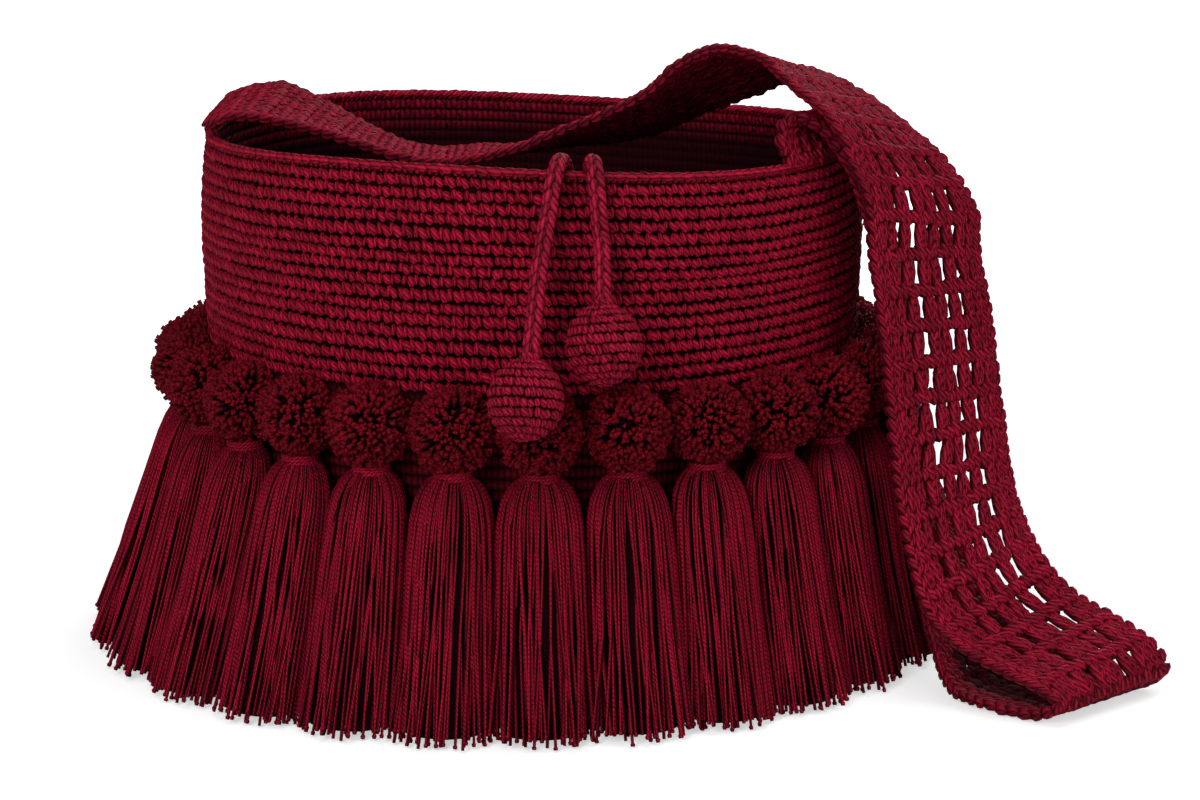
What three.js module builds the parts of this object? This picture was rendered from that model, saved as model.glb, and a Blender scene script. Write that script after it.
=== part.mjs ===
// A crocheted wayuu mochila bag that stands on its round base, with its openwork shoulder strap,
// a ring of pompoms and tassels, and a drawstring that ends in two crocheted balls.
// Millimetres. X runs to the right, Y to the back, Z up. The origin is the centre of the base.
import * as THREE from 'three';
import { mergeVertices } from 'three/addons/utils/BufferGeometryUtils.js';

// Gap that touching pieces keep
const CLEARANCE = 0.3;

// Bag body: one crocheted wall and base
const RIM_HEIGHT = 231.5;
const RIM_SWAY = 3.0;
const RIM_SWAY_ANGLE = -150;
const RIM_WAVE = 1.9;
const RIM_WAVE_ANGLE = 12;
const RIM_RADIUS = 147;
const BELLY_RADIUS = 150.5;
const BELLY_HEIGHT = 190;
const FOOT_RADIUS = 139;
const FOOT_CORNER = 22;
const WALL_THICKNESS = 4.5;
const BASE_THICKNESS = 4.5;
const RIM_BRAID_HEIGHT = 4.5;
const ROW_PITCH = 5.2;
const ROW_DEPTH = 1.0;
const INNER_ROWS = 4;
const BAG_SEGMENTS = 32;

// Ring of pompoms
const ORNAMENT_COUNT = 27;
const FIRST_ORNAMENT_ANGLE = -87.8;
const POMPOM_RADIUS = 18;
const POMPOM_RING_RADIUS = 157;
const POMPOM_HEIGHT = 126.5;
const PRESSED_POMPOM_DEPTH = 13;
const PRESSED_FROM_ANGLE = -32;
const PRESSED_TO_ANGLE = 12;

// Ring of tassels, one under each pompom
const TASSEL_NECK_RADIUS = 6;
const TASSEL_HEAD_RADIUS = 12.5;
const TASSEL_SKIRT_RADIUS = 16.5;
const TASSEL_HEM_RADIUS = 19.5;
const TASSEL_NECK_LENGTH = 4;
const TASSEL_HEAD_LENGTH = 7;
const TASSEL_SKIRT_LENGTH = 26;
const TASSEL_FLATNESS = 0.72;
const TASSEL_FLOOR_GAP = 0.4;
const HEM_REACH = 193;
const HEM_REACH_SWAY = 7;
const HEM_REACH_WAVE = 3;

// Shoulder strap
const STRAP_WIDTH = 73;
const STRAP_THICKNESS = 5.5;
const STRAP_EDGE_BLOCK = 15.5;
const STRAP_GAP_WIDTH = 11;
const STRAP_BAR = 5.5;
const STRAP_ROWS = 62;

// Drawstring
const CORD_DIAMETER = 6.8;
const CORD_SIDES = 8;
const CORD_STEPS = 22;
const BALL_RADIUS = 15.8;
const BALL_HEIGHT = 34.5;

const YARN = { color: '#7d1230', roughness: 0.82, metalness: 0 };

const radians = THREE.MathUtils.degToRad;

function yarnMaterial(name) {
  const material = new THREE.MeshStandardMaterial(YARN);
  material.name = name;
  return material;
}

// Merges shared corners, drops flat triangles and turns the faces outward.
function closedSolid(geometry) {
  geometry.deleteAttribute('normal');
  geometry.deleteAttribute('uv');
  const merged = mergeVertices(geometry, 1e-3);
  const position = merged.getAttribute('position');
  const source = merged.getIndex().array;
  const corner = [new THREE.Vector3(), new THREE.Vector3(), new THREE.Vector3()];
  const index = [];
  let volume = 0;
  for (let i = 0; i < source.length; i += 3) {
    const [a, b, c] = source.slice(i, i + 3);
    if (a === b || b === c || c === a) continue;
    corner.forEach((point, k) => point.fromBufferAttribute(position, source[i + k]));
    volume += corner[0].dot(corner[1].cross(corner[2]));
    index.push(a, b, c);
  }
  if (volume < 0) index.reverse();
  merged.setIndex(index);
  merged.computeVertexNormals();
  return merged;
}

function movePoints(geometry, move) {
  const position = geometry.getAttribute('position');
  const point = new THREE.Vector3();
  for (let i = 0; i < position.count; i += 1) {
    point.fromBufferAttribute(position, i);
    move(point);
    position.setXYZ(i, point.x, point.y, point.z);
  }
  return geometry;
}

// A closed profile of (radius, height) points, turned round the upright axis
function turned(profile, segments) {
  const points = profile.map(([radius, height]) => new THREE.Vector2(radius, height));
  return new THREE.LatheGeometry(points, segments).rotateX(Math.PI / 2);
}

function namedMesh(name, geometry) {
  const mesh = new THREE.Mesh(closedSolid(geometry), yarnMaterial(`${name}_yarn`));
  mesh.name = name;
  return mesh;
}

// Outer radius of the bag's wall at a height
function wallRadius(height) {
  if (height > BELLY_HEIGHT) {
    const above = (height - BELLY_HEIGHT) / (RIM_HEIGHT - BELLY_HEIGHT);
    return BELLY_RADIUS - (BELLY_RADIUS - RIM_RADIUS) * above ** 2;
  }
  const below = (BELLY_HEIGHT - Math.max(height, FOOT_CORNER)) / (BELLY_HEIGHT - FOOT_CORNER);
  return BELLY_RADIUS - (BELLY_RADIUS - FOOT_RADIUS) * below ** 1.5;
}

// How far the soft rim stands above or below its mean height at an angle in radians
function rimRise(angle) {
  const sway = RIM_SWAY * Math.cos(angle - radians(RIM_SWAY_ANGLE));
  const wave = RIM_WAVE * Math.cos(3 * (angle - radians(RIM_WAVE_ANGLE)));
  return sway + wave;
}

function bagProfile() {
  const profile = [[0, 0]];
  const cornerCentre = FOOT_RADIUS - FOOT_CORNER;
  for (const turn of [0, 30, 60, 90]) {
    const radius = cornerCentre + FOOT_CORNER * Math.sin(radians(turn));
    const height = FOOT_CORNER * (1 - Math.cos(radians(turn)));
    profile.push([radius, height]);
  }
  const braidFoot = RIM_HEIGHT - RIM_BRAID_HEIGHT;
  const pompomTop = POMPOM_HEIGHT + POMPOM_RADIUS;
  const outerRows = Math.ceil((braidFoot - pompomTop) / ROW_PITCH) + 1;
  const rowsFoot = braidFoot - outerRows * ROW_PITCH;
  const pompomFoot = POMPOM_HEIGHT - POMPOM_RADIUS;
  for (const height of [pompomFoot / 2, pompomFoot, POMPOM_HEIGHT]) {
    profile.push([wallRadius(height), height]);
  }
  for (let row = 0; row < outerRows; row += 1) {
    const foot = rowsFoot + row * ROW_PITCH;
    const middle = foot + ROW_PITCH / 2;
    profile.push([wallRadius(foot) - ROW_DEPTH, foot]);
    profile.push([wallRadius(middle), middle]);
  }
  const halfWall = WALL_THICKNESS / 2;
  profile.push([RIM_RADIUS - ROW_DEPTH, braidFoot]);
  profile.push([RIM_RADIUS, RIM_HEIGHT - halfWall]);
  profile.push([RIM_RADIUS - halfWall, RIM_HEIGHT]);
  profile.push([RIM_RADIUS - WALL_THICKNESS, RIM_HEIGHT - halfWall]);
  for (let row = 0; row < INNER_ROWS; row += 1) {
    const top = braidFoot - row * ROW_PITCH;
    const middle = top - ROW_PITCH / 2;
    profile.push([wallRadius(top) - WALL_THICKNESS + ROW_DEPTH, top]);
    profile.push([wallRadius(middle) - WALL_THICKNESS, middle]);
  }
  profile.push([wallRadius(rowsFoot) - WALL_THICKNESS, rowsFoot]);
  profile.push([FOOT_RADIUS - WALL_THICKNESS, FOOT_CORNER]);
  const innerCorner = FOOT_CORNER - BASE_THICKNESS;
  profile.push([cornerCentre + innerCorner * Math.SQRT1_2, FOOT_CORNER - innerCorner * Math.SQRT1_2]);
  profile.push([cornerCentre, BASE_THICKNESS]);
  profile.push([0, BASE_THICKNESS]);
  return profile;
}

function bagBody() {
  const geometry = turned(bagProfile(), BAG_SEGMENTS);
  movePoints(geometry, (point) => {
    const share = THREE.MathUtils.smoothstep(point.z, RIM_HEIGHT / 2, RIM_HEIGHT);
    point.z += share * rimRise(Math.atan2(point.y, point.x));
  });
  return namedMesh('bag_body', geometry);
}

// Keeps a point outside the wall, so a soft piece lies flat against it.
function pressAgainstWall(point) {
  const radius = Math.hypot(point.x, point.y);
  const least = wallRadius(point.z) + CLEARANCE;
  if (radius < least) {
    point.x *= least / radius;
    point.y *= least / radius;
  }
}

function ornamentAngle(index) {
  return FIRST_ORNAMENT_ANGLE + (360 / ORNAMENT_COUNT) * index;
}

function isUnderStrap(angle) {
  const turn = THREE.MathUtils.euclideanModulo(angle + 180, 360) - 180;
  return turn > PRESSED_FROM_ANGLE && turn < PRESSED_TO_ANGLE;
}

function pompom(index) {
  const angle = ornamentAngle(index);
  const geometry = new THREE.SphereGeometry(POMPOM_RADIUS, 8, 5).rotateX(Math.PI / 2);
  const depth = isUnderStrap(angle) ? PRESSED_POMPOM_DEPTH : POMPOM_RADIUS;
  geometry.scale(depth / POMPOM_RADIUS, 1, 1);
  geometry.translate(POMPOM_RING_RADIUS, 0, POMPOM_HEIGHT);
  geometry.rotateZ(radians(angle));
  movePoints(geometry, pressAgainstWall);
  return namedMesh(`pompom_${String(index + 1).padStart(2, '0')}`, geometry);
}

// Radius of the tassels' outer tips on the floor at an angle in degrees
function hemReach(angle) {
  const sway = HEM_REACH_SWAY * Math.cos(radians(angle + 160));
  const wave = HEM_REACH_WAVE * Math.cos(radians(2 * (angle + 88)));
  return HEM_REACH + sway - wave;
}

function tassel(index) {
  const angle = ornamentAngle(index);
  const top = POMPOM_HEIGHT - POMPOM_RADIUS - CLEARANCE;
  const headTop = top - TASSEL_NECK_LENGTH;
  const headFoot = headTop - TASSEL_HEAD_LENGTH;
  const profile = [
    [0, top],
    [TASSEL_NECK_RADIUS, top],
    [TASSEL_NECK_RADIUS, headTop],
    [TASSEL_HEAD_RADIUS, headFoot],
    [TASSEL_SKIRT_RADIUS, headFoot - TASSEL_SKIRT_LENGTH],
    [TASSEL_HEM_RADIUS, TASSEL_FLOOR_GAP],
    [0, TASSEL_FLOOR_GAP],
  ];
  const hemCentre = hemReach(angle) - TASSEL_HEM_RADIUS * TASSEL_FLATNESS;
  const geometry = turned(profile, 8);
  movePoints(geometry, (point) => {
    const lean = THREE.MathUtils.clamp((headTop - point.z) / headTop, 0, 1);
    point.x = point.x * TASSEL_FLATNESS + THREE.MathUtils.lerp(POMPOM_RING_RADIUS, hemCentre, lean);
  });
  geometry.rotateZ(radians(angle));
  movePoints(geometry, pressAgainstWall);
  return namedMesh(`tassel_${String(index + 1).padStart(2, '0')}`, geometry);
}

// A stop on the strap's route: its front edge, and the direction from there to its back edge
function stop(front, acrossX, acrossZ) {
  const across = new THREE.Vector3(acrossX, 1, acrossZ).setLength(STRAP_WIDTH);
  return { front, back: front.clone().add(across) };
}

// Over the mouth: places as shares of the rim's radius, with the rise above the rim
function overMouth(x, y, rise, acrossX, acrossZ) {
  const front = new THREE.Vector3(x * RIM_RADIUS, y * RIM_RADIUS, RIM_HEIGHT + rise);
  return stop(front, acrossX, acrossZ);
}

// Beside the bag: an angle, a distance out from a ring of the bag, and a height
function beside(ring, angle, out, height, acrossX, acrossZ) {
  const turn = radians(angle);
  const radius = ring + out;
  const front = new THREE.Vector3(radius * Math.cos(turn), radius * Math.sin(turn), height);
  return stop(front, acrossX, acrossZ);
}

function strapRoute() {
  const pompomReach = POMPOM_RING_RADIUS + POMPOM_RADIUS;
  const floor = STRAP_THICKNESS / 2 + 0.8;
  return [
    // Seam on the left of the rim, and the rise over it
    overMouth(-0.975, -0.25, 2.5, -0.01, 0),
    overMouth(-0.955, -0.265, 7.5, 0, 0.03),
    overMouth(-0.9, -0.27, 10, 0.04, 0.06),
    overMouth(-0.82, -0.265, 9.5, 0.08, 0.08),
    // The dip across the mouth
    overMouth(-0.69, -0.25, 5, 0.06, 0.02),
    overMouth(-0.54, -0.245, -1.4, 0.02, -0.04),
    overMouth(-0.39, -0.245, -8.5, -0.02, -0.06),
    overMouth(-0.27, -0.245, -10.8, -0.03, -0.06),
    overMouth(-0.15, -0.245, -8.5, 0, -0.08),
    overMouth(-0.03, -0.245, -3.6, 0.03, -0.15),
    // The rise to the arch, with the front edge up
    overMouth(0.09, -0.245, 3.9, 0.05, -0.22),
    overMouth(0.21, -0.245, 10.6, 0.06, -0.3),
    overMouth(0.33, -0.25, 19.6, 0.1, -0.38),
    overMouth(0.45, -0.27, 34.5, 0.18, -0.47),
    overMouth(0.55, -0.32, 41.5, 0.28, -0.45),
    overMouth(0.68, -0.435, 39, 0.38, -0.22),
    // Over the right of the rim and down its outside
    beside(RIM_RADIUS, -36.2, -8, RIM_HEIGHT + 29.6, 0.54, -0.17),
    beside(RIM_RADIUS, -36.2, 12, RIM_HEIGHT + 16.1, 0.75, -0.25),
    beside(RIM_RADIUS, -35.6, 21, RIM_HEIGHT - 0.4, 0.89, -0.18),
    beside(BELLY_RADIUS, -34.3, 23.3, RIM_HEIGHT - 17.5, 1.07, -0.22),
    beside(BELLY_RADIUS, -33.9, 25.5, RIM_HEIGHT - 43.4, 1.06, -0.12),
    beside(pompomReach, -33, 5, 157.6, 1.08, -0.08),
    beside(pompomReach, -32.7, 10.2, 114, 1.12, -0.02),
    beside(pompomReach, -35, 20.2, 77.1, 1.13, 0.1),
    // Along the floor to the fold
    beside(HEM_REACH, -38.2, 25.1, 39.1, 1.13, 0.38),
    beside(HEM_REACH, -37.9, 39.6, 28.3, 1.13, 0.28),
    beside(HEM_REACH, -37.1, 57.4, 21.1, 1.13, 0.24),
    beside(HEM_REACH, -36.4, 75, 14.8, 1.15, 0.18),
    beside(HEM_REACH, -36.1, 81.8, 9, 1.15, 0.06),
    // Back under itself
    beside(HEM_REACH, -36.3, 72.4, floor, 1.15, 0),
    beside(HEM_REACH, -36.1, 44.6, floor, 1.15, 0),
    beside(HEM_REACH, -34.9, 29, 4.5, 1, 0.05),
    // Up the bag's right side
    beside(HEM_REACH, -31.5, 13.5, 16, 0.75, 0.12),
    beside(HEM_REACH, -28.3, 3, 35, 0.42, 0.08),
    beside(pompomReach, -24.6, 13, 68, 0.22, 0),
    beside(pompomReach, -22.3, 6.4, 100, 0.14, 0),
    beside(pompomReach, -21.9, 4.2, 130, 0.12, 0),
    beside(BELLY_RADIUS, -23.1, 20.8, 165, 0.14, 0),
    beside(BELLY_RADIUS, -26.7, 14.1, RIM_HEIGHT - 31.5, 0.22, 0),
    beside(BELLY_RADIUS, -30.9, 9.2, RIM_HEIGHT - 5.5, 0.34, 0),
    // Over the rim to the seam on its right
    beside(RIM_RADIUS, -33, 6.5, RIM_HEIGHT + 5.8, 0.44, -0.05),
    beside(RIM_RADIUS, -35.4, 2, RIM_HEIGHT + 13, 0.48, -0.1),
    beside(RIM_RADIUS, -38.2, -3, RIM_HEIGHT + 17.2, 0.52, -0.12),
    beside(RIM_RADIUS, -40.8, -5, RIM_HEIGHT + 14, 0.53, -0.1),
    beside(RIM_RADIUS, -42.2, -3, RIM_HEIGHT + 7, 0.53, -0.02),
    beside(RIM_RADIUS, -42.4, -1.5, RIM_HEIGHT - 2, 0.53, 0),
  ];
}

// Seats a corner of the strap's sewn end on the top of the rim.
function seatOnRim(point, side) {
  const angle = Math.atan2(point.y, point.x);
  const radius = RIM_RADIUS - WALL_THICKNESS / 2 + (side * STRAP_THICKNESS) / 2;
  const height = RIM_HEIGHT + rimRise(angle) + CLEARANCE;
  return point.set(radius * Math.cos(angle), radius * Math.sin(angle), height);
}

function shoulderStrap() {
  const route = strapRoute();
  const frontEdge = new THREE.CatmullRomCurve3(route.map((place) => place.front), false, 'centripetal');
  const backEdge = new THREE.CatmullRomCurve3(route.map((place) => place.back), false, 'centripetal');
  // Both edges share the stops, so the band is measured along its middle and then split into rows.
  const samples = 600;
  const middle = (t) => frontEdge.getPoint(t).lerp(backEdge.getPoint(t), 0.5);
  const lengths = [0];
  for (let i = 1; i <= samples; i += 1) {
    lengths.push(lengths[i - 1] + middle(i / samples).distanceTo(middle((i - 1) / samples)));
  }
  const total = lengths[samples];
  const parameterAt = (length) => {
    let i = 1;
    while (i < samples && lengths[i] < length) i += 1;
    const share = (length - lengths[i - 1]) / (lengths[i] - lengths[i - 1]);
    return THREE.MathUtils.clamp((i - 1 + share) / samples, 0, 1);
  };

  const pitch = total / STRAP_ROWS;
  const gapEnd = STRAP_EDGE_BLOCK + STRAP_GAP_WIDTH;
  const columns = [0, STRAP_EDGE_BLOCK, gapEnd, STRAP_WIDTH - gapEnd, STRAP_WIDTH - STRAP_EDGE_BLOCK, STRAP_WIDTH];
  const lines = [0];
  for (let row = 1; row < STRAP_ROWS; row += 1) {
    lines.push(row * pitch - STRAP_BAR / 2, row * pitch + STRAP_BAR / 2);
  }
  lines.push(total);

  // Two layers of corners, one on each face of the band
  const corners = lines.map((length, line) => {
    const t = parameterAt(length);
    const front = frontEdge.getPoint(t);
    const back = backEdge.getPoint(t);
    const along = middle(Math.min(t + 0.004, 1)).sub(middle(Math.max(t - 0.004, 0)));
    const normal = back.clone().sub(front).cross(along).normalize();
    const sewn = line === 0 || line === lines.length - 1;
    const outward = normal.dot(new THREE.Vector3(front.x + back.x, front.y + back.y, 0)) > 0 ? 1 : -1;
    return columns.map((across) => [-1, 1].map((side) => {
      const point = front.clone().lerp(back, across / STRAP_WIDTH);
      if (sewn) return seatOnRim(point, side * outward);
      return point.addScaledVector(normal, (side * STRAP_THICKNESS) / 2);
    }));
  });

  const vertices = [];
  const quad = (a, b, c, d) => {
    for (const point of [a, b, c, a, c, d]) vertices.push(point.x, point.y, point.z);
  };
  const isGap = (line, column) => {
    const inPostRow = line % 2 === 0 && line > 0 && line < lines.length - 2;
    return inPostRow && (column === 1 || column === 3);
  };
  const lastLine = lines.length - 2;
  const lastColumn = columns.length - 2;
  for (let line = 0; line <= lastLine; line += 1) {
    for (let column = 0; column <= lastColumn; column += 1) {
      if (isGap(line, column)) continue;
      const a = corners[line][column];
      const b = corners[line][column + 1];
      const c = corners[line + 1][column + 1];
      const d = corners[line + 1][column];
      quad(a[1], b[1], c[1], d[1]);
      quad(a[0], d[0], c[0], b[0]);
      if (line === 0 || isGap(line - 1, column)) quad(a[0], b[0], b[1], a[1]);
      if (line === lastLine || isGap(line + 1, column)) quad(d[1], c[1], c[0], d[0]);
      if (column === 0 || isGap(line, column - 1)) quad(a[1], d[1], d[0], a[0]);
      if (column === lastColumn || isGap(line, column + 1)) quad(b[0], c[0], c[1], b[1]);
    }
  }
  const geometry = new THREE.BufferGeometry();
  geometry.setAttribute('position', new THREE.Float32BufferAttribute(vertices, 3));
  return namedMesh('shoulder_strap', geometry);
}

// Places of the two balls, and the cords' routes from the inside of the wall to their tops
const LEFT_BALL = new THREE.Vector3(0.8, -184.5, 146.5);
const RIGHT_BALL = new THREE.Vector3(32.4, -167, 165.5);
const LEFT_ROUTE = [
  [18.4, -128.4, 211],
  [18.4, -128.4, 219.5],
  [17.4, -129.6, 227.8],
  [16, -134.8, 234.3],
  [14.6, -142.6, 237.1],
  [13.2, -150.7, 235.4],
  [11.7, -156.7, 229.6],
  [10.4, -159.1, 221.6],
  [9, -161.6, 213.6],
  [7.7, -164.8, 205.8],
  [6.4, -168, 198],
];
const RIGHT_ROUTE = [
  [26, -126.4, 211],
  [26, -126.4, 219.3],
  [26.5, -127.7, 227.5],
  [27.2, -132.9, 233.8],
  [27.9, -140.7, 236.3],
  [28.7, -148.7, 234.4],
  [29.4, -154.4, 228.5],
  [30.1, -156.4, 220.6],
  [30.8, -157, 212.3],
  [31.6, -157.5, 204],
];

// Direction in which a ball hangs: from its centre to the last stop of its cord
function hangDirection(route, ball) {
  return new THREE.Vector3(...route.at(-1)).sub(ball).normalize();
}

function drawstring(name, route, ball) {
  const points = route.map((place) => new THREE.Vector3(...place));
  const end = BALL_HEIGHT / 2 + CLEARANCE;
  const direction = hangDirection(route, ball);
  points.push(ball.clone().addScaledVector(direction, end + CORD_DIAMETER));
  points.push(ball.clone().addScaledVector(direction, end));
  const path = new THREE.CatmullRomCurve3(points, false, 'centripetal');
  const section = new THREE.Shape();
  for (let side = 0; side < CORD_SIDES; side += 1) {
    const turn = (2 * Math.PI * side) / CORD_SIDES;
    const x = (CORD_DIAMETER / 2) * Math.cos(turn);
    const y = (CORD_DIAMETER / 2) * Math.sin(turn);
    if (side === 0) section.moveTo(x, y);
    else section.lineTo(x, y);
  }
  const geometry = new THREE.ExtrudeGeometry(section, { steps: CORD_STEPS, extrudePath: path });
  return namedMesh(name, geometry);
}

function drawstringBall(name, route, place) {
  const half = BALL_HEIGHT / 2;
  const profile = [[0, -half]];
  for (let turn = -60; turn <= 60; turn += 30) {
    profile.push([BALL_RADIUS * Math.cos(radians(turn)), half * Math.sin(radians(turn))]);
  }
  profile.push([CORD_DIAMETER / 2, half]);
  profile.push([0, half]);
  const geometry = turned(profile, 10);
  const upright = new THREE.Vector3(0, 0, 1);
  const hang = new THREE.Quaternion().setFromUnitVectors(upright, hangDirection(route, place));
  geometry.applyQuaternion(hang);
  geometry.translate(place.x, place.y, place.z);
  return namedMesh(name, geometry);
}

const mochila = new THREE.Group();
mochila.name = 'wayuu_mochila_bag';
mochila.add(bagBody());
mochila.add(shoulderStrap());
for (let index = 0; index < ORNAMENT_COUNT; index += 1) {
  mochila.add(pompom(index));
  mochila.add(tassel(index));
}
mochila.add(drawstring('drawstring_left', LEFT_ROUTE, LEFT_BALL));
mochila.add(drawstring('drawstring_right', RIGHT_ROUTE, RIGHT_BALL));
mochila.add(drawstringBall('drawstring_ball_left', LEFT_ROUTE, LEFT_BALL));
mochila.add(drawstringBall('drawstring_ball_right', RIGHT_ROUTE, RIGHT_BALL));

export default mochila;
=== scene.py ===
"""A crocheted wayuu mochila bag in red cotton: wall, strap, drawstring, pompoms and tassels.

Lengths are metres. X runs to the right, Y to the back and Z up, from the base's centre.
"""

import math

import bpy
import numpy as np
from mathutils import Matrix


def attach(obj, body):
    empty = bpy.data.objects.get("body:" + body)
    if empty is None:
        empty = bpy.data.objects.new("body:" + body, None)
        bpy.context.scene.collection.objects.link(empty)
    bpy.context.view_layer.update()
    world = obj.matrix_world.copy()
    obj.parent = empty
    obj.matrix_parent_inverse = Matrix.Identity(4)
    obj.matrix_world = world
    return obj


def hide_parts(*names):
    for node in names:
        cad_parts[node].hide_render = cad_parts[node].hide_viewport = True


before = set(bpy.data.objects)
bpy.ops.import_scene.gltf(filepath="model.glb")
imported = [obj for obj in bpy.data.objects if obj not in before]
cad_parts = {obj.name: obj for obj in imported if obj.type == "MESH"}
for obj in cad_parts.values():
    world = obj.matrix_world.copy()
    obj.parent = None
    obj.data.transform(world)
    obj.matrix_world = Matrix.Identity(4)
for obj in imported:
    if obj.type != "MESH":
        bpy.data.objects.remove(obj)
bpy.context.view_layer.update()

MM = 0.001
UPRIGHT = np.array([[0.0, 0.0, 1.0]])
FLOOR_GAP = 0.8 * MM

# Bag body, as the solids have it
RIM_HEIGHT = 231.5 * MM
RIM_SWAY = 3.0 * MM
RIM_SWAY_ANGLE = -150
RIM_WAVE = 1.9 * MM
RIM_WAVE_ANGLE = 12
RIM_RADIUS = 147 * MM
BELLY_RADIUS = 150.5 * MM
BELLY_HEIGHT = 190 * MM
FOOT_RADIUS = 139 * MM
FOOT_CORNER = 22 * MM
WALL = 4.5 * MM

# Crochet of the wall
ROW = 5.2 * MM
OUTER_ROWS = 17
INNER_ROWS = 9
STITCH = 2.75 * MM
STITCH_DEPTH = 1.9 * MM
RIM_BRAID = 4.5 * MM
RIM_LINK = 5.2 * MM
RIM_CORE = 1.75 * MM

# Pompoms and tassels
ORNAMENTS = 27
FIRST_ANGLE = -87.8
RING_RADIUS = 157 * MM
POMPOM_RADIUS = 18 * MM
POMPOM_HEIGHT = 126.5 * MM
POMPOM_BOTTOM = POMPOM_HEIGHT - POMPOM_RADIUS
PRESSED_DEPTH = 13 * MM
PRESSED_FROM = -32
PRESSED_TO = 12
POMPOM_ENDS = 980
POMPOM_GAP = 0.6 * MM
HEM_REACH = 193 * MM
HEM_REACH_SWAY = 7 * MM
HEM_REACH_SWAY_ANGLE = -160
HEM_REACH_WAVE = 3 * MM
HEM_REACH_WAVE_ANGLE = -88
TASSEL_FLATNESS = 0.72
OUTER_STRANDS = 70
UNDER_STRANDS = 44
STRAND_GAP = 0.9 * MM
TIE_RADIUS = 7.7 * MM
TIE_YARN = 0.9 * MM
TIE_TURNS = 2.5

# Strap
STRAP_WIDTH = 73 * MM
STRAP_THICKNESS = 5.5 * MM
STRAP_ROWS = 62
STRAP_LINK = 5.6 * MM
STRAP_SEAM = 9 * MM

# Drawstring
CORD_DIAMETER = 6.8 * MM
CORD_LINK = 5.8 * MM
CORD_CORE = 2.5 * MM
BALL_RADIUS = 15.8 * MM
BALL_HEIGHT = 34.5 * MM
BALL_ROWS = 12

# Yarns, and the colour of the painted shade between them and in hollows
SHADE_COLOUR = (0.012, 0.0003, 0.0015)
YARNS = {
    "braided_cord": dict(
        colour=(0.33, 0.007, 0.032), plies=4, ply_length=5.0 * MM, contrast=1.0, relief=0.8
    ),
    "crocheted_ball": dict(
        colour=(0.32, 0.006, 0.029), plies=5, ply_length=6.0 * MM, contrast=1.1, relief=0.9
    ),
    "crocheted_wall": dict(
        colour=(0.32, 0.004, 0.024), plies=5, ply_length=6.0 * MM, contrast=1.1, relief=0.9
    ),
    "openwork_strap": dict(
        colour=(0.28, 0.004, 0.023), plies=5, ply_length=6.0 * MM, contrast=1.3, relief=0.9
    ),
    # The pompoms' yarn is the same cotton as the rest, painted darker as painted shade
    "pompom_yarn": dict(
        colour=(0.185, 0.0012, 0.0095), plies=2, ply_length=1.8 * MM, contrast=0.6, relief=0.6
    ),
    "tassel_yarn": dict(
        colour=(0.42, 0.005, 0.032), plies=2, ply_length=1.9 * MM, contrast=0.9, relief=0.8
    ),
}

rng = np.random.default_rng(27)


# Small helpers for points and meshes

def deselect_all():
    if bpy.context.mode != "OBJECT":
        bpy.ops.object.mode_set(mode="OBJECT")
    bpy.ops.object.select_all(action="DESELECT")


def points_of(obj):
    points = np.empty(len(obj.data.vertices) * 3)
    obj.data.vertices.foreach_get("co", points)
    return points.reshape(-1, 3)


def put_points(obj, points):
    obj.data.vertices.foreach_set("co", points.ravel())
    obj.data.update()


def add_value(obj, name, values):
    layer = obj.data.attributes.new(name, "FLOAT", "POINT")
    layer.data.foreach_set("value", np.asarray(values, dtype=np.float32).ravel())


def add_strand(obj, values):
    """Where a point lies on its strand: its turn round it, as a direction, and how far along."""
    layer = obj.data.attributes.new("strand", "FLOAT_VECTOR", "POINT")
    layer.data.foreach_set("vector", np.asarray(values, dtype=np.float32).ravel())


def close_seams(obj):
    deselect_all()
    obj.select_set(True)
    bpy.context.view_layer.objects.active = obj
    bpy.ops.object.mode_set(mode="EDIT")
    bpy.ops.mesh.select_all(action="SELECT")
    bpy.ops.mesh.remove_doubles(threshold=0.02 * MM)
    bpy.ops.object.mode_set(mode="OBJECT")


def grid(name, columns, rows):
    """A flat grid; returns it with each vertex's column and row number."""
    deselect_all()
    bpy.ops.mesh.primitive_grid_add(x_subdivisions=columns, y_subdivisions=rows, size=2)
    obj = bpy.context.object
    obj.name = name
    flat = points_of(obj)
    column = np.rint((flat[:, 0] + 1) / 2 * columns).astype(int)
    row = np.rint((flat[:, 1] + 1) / 2 * rows).astype(int)
    return obj, column, row


def dress(obj, slot, node=None):
    """Gives a finished piece its yarn, its place in the frame and the solid it stands for."""
    obj.data.materials.clear()
    obj.data.materials.append(yarns[slot])
    obj.data.polygons.foreach_set("use_smooth", np.ones(len(obj.data.polygons), dtype=bool))
    obj.data.update()
    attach(obj, "root")
    if node:
        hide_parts(node)


def repeated(name, model, places):
    """One mesh of many copies of a model; places holds the points of each copy."""
    count, size = places.shape[0], places.shape[1]
    faces = [tuple(face.vertices) for face in model.data.polygons]
    steps = range(0, count * size, size)
    all_faces = [tuple([corner + step for corner in face]) for step in steps for face in faces]
    mesh = bpy.data.meshes.new(name)
    mesh.from_pydata(places.reshape(-1, 3), [], all_faces)
    obj = bpy.data.objects.new(name, mesh)
    bpy.context.collection.objects.link(obj)
    bpy.data.objects.remove(model)
    return obj


def joined(name, parts):
    deselect_all()
    for part in parts:
        part.select_set(True)
    bpy.context.view_layer.objects.active = parts[0]
    bpy.ops.object.join()
    obj = bpy.context.object
    obj.name = name
    return obj


def unit(vectors):
    return vectors / np.linalg.norm(vectors, axis=-1, keepdims=True)


def smoothstep(low, high, value):
    share = np.clip((value - low) / (high - low), 0, 1)
    return share * share * (3 - 2 * share)


def travelled(line):
    """The distance along a line to each of its points."""
    return np.concatenate([[0], np.cumsum(np.linalg.norm(np.diff(line, axis=0), axis=1))])


def looked_up(table, lengths, travel):
    """The rows of a table, given at some lengths, at other lengths."""
    return np.column_stack([np.interp(travel, lengths, column) for column in table.T])


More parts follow.
